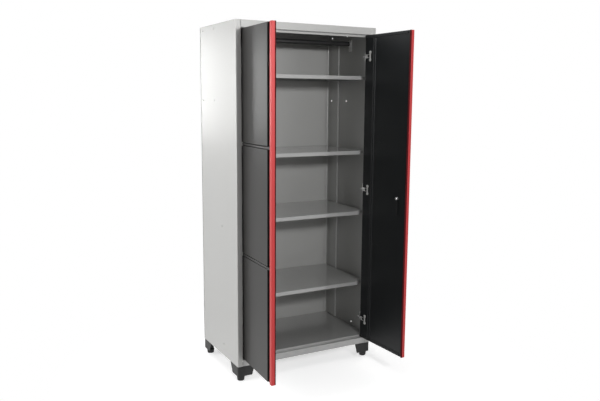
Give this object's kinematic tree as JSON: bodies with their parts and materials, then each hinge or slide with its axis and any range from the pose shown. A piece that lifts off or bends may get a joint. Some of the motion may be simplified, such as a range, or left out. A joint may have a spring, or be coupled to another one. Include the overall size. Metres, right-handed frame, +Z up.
{
  "type": "double door tool cabinet",
  "caption": "Tall free-standing steel tool cabinet with double hinged doors, full-height edge pulls, adjustable shelves on slotted standards, a hanging rod, cam lock and levelling feet.",
  "frame": {"origin": "on the floor, under the middle of the box around the cabinet with both doors open as pictured", "axes": "+X to the right seen from the front, +Y to the back, +Z up"},
  "size_m": [0.9144, 0.9508, 2.058],
  "materials": {
    "case_paint": "silver-grey satin powder coat",
    "panel_paint": "dark grey satin powder coat",
    "pan_paint": "black satin powder coat",
    "pull_red": "red coated extrusion",
    "foot_plastic": "moulded black",
    "hinge_steel": "nickel plated",
    "bracket_steel": "zinc plated",
    "rod_steel": "dark coated tube",
    "lock_chrome": "polished",
    "cam_steel": "blackened steel"
  },
  "bodies": {
    "case": {"back_panel": "case_paint", "bottom_panel": "case_paint", "foot_bracket_front_left": "foot_plastic", "foot_bracket_front_right": "foot_plastic", "foot_bracket_rear_left": "foot_plastic", "foot_bracket_rear_right": "foot_plastic", "hanging_rod": "rod_steel", "hinge_arm_left_bottom": "hinge_steel", "hinge_arm_left_middle": "hinge_steel", "hinge_arm_left_top": "hinge_steel", "hinge_arm_right_bottom": "hinge_steel", "hinge_arm_right_middle": "hinge_steel", "hinge_arm_right_top": "hinge_steel", "rod_bracket_left": "case_paint", "rod_bracket_right": "case_paint", "shelf_1": "case_paint", "shelf_2": "case_paint", "shelf_3": "case_paint", "shelf_4": "case_paint", "shelf_standard_front_left": "case_paint", "shelf_standard_front_right": "case_paint", "shelf_standard_rear_left": "case_paint", "shelf_standard_rear_right": "case_paint", "shelf_support_left_1": "bracket_steel", "shelf_support_left_2": "bracket_steel", "shelf_support_left_3": "bracket_steel", "shelf_support_left_4": "bracket_steel", "shelf_support_right_1": "bracket_steel", "shelf_support_right_2": "bracket_steel", "shelf_support_right_3": "bracket_steel", "shelf_support_right_4": "bracket_steel", "side_panel_left": "case_paint", "side_panel_right": "case_paint", "top_panel": "case_paint"},
    "left_door": {"door_cross_rail_left_lower": "panel_paint", "door_cross_rail_left_upper": "panel_paint", "door_pan_left": "pan_paint", "door_panel_left_lower": "panel_paint", "door_panel_left_middle": "panel_paint", "door_panel_left_upper": "panel_paint", "door_pull_left": "pull_red", "hinge_cup_left_bottom": "hinge_steel", "hinge_cup_left_middle": "hinge_steel", "hinge_cup_left_top": "hinge_steel"},
    "right_door": {"door_cross_rail_right_lower": "panel_paint", "door_cross_rail_right_upper": "panel_paint", "door_pan_right": "pan_paint", "door_panel_right_lower": "panel_paint", "door_panel_right_middle": "panel_paint", "door_panel_right_upper": "panel_paint", "door_pull_right": "pull_red", "hinge_cup_right_bottom": "hinge_steel", "hinge_cup_right_middle": "hinge_steel", "hinge_cup_right_top": "hinge_steel", "lock_housing": "lock_chrome"},
    "lock_plug": {"lock_cam": "cam_steel"},
    "leveller_front_left": {"leveller_front_left": "foot_plastic"},
    "leveller_front_right": {"leveller_front_right": "foot_plastic"},
    "leveller_rear_left": {"leveller_rear_left": "foot_plastic"},
    "leveller_rear_right": {"leveller_rear_right": "foot_plastic"}
  },
  "joints": [
    {"name": "right_door_hinge", "type": "hinge", "parent": "case", "child": "right_door", "pos_m": [0.4102, -0.06661, 1.084], "axis": [0, 0, 1], "range_deg": [-92.6, 17.4]},
    {"name": "left_door_hinge", "type": "hinge", "parent": "case", "child": "left_door", "pos_m": [-0.4102, -0.06661, 1.084], "axis": [0, 0, -1], "range_deg": [-92.6, 17.4]},
    {"name": "lock_turn", "type": "hinge", "parent": "right_door", "child": "lock_plug", "pos_m": [0.43307, -0.39391, 1.069], "axis": [-0.999, -0.0454, 0], "range_deg": [0, 90]},
    {"name": "leveller_front_left_screw", "type": "slide", "parent": "case", "child": "leveller_front_left", "axis": [0, 0, 1], "range_m": [-0.015, 0.005]},
    {"name": "leveller_front_right_screw", "type": "slide", "parent": "case", "child": "leveller_front_right", "axis": [0, 0, 1], "range_m": [-0.015, 0.005]},
    {"name": "leveller_rear_left_screw", "type": "slide", "parent": "case", "child": "leveller_rear_left", "axis": [0, 0, 1], "range_m": [-0.015, 0.005]},
    {"name": "leveller_rear_right_screw", "type": "slide", "parent": "case", "child": "leveller_rear_right", "axis": [0, 0, 1], "range_m": [-0.015, 0.005]}
  ]
}
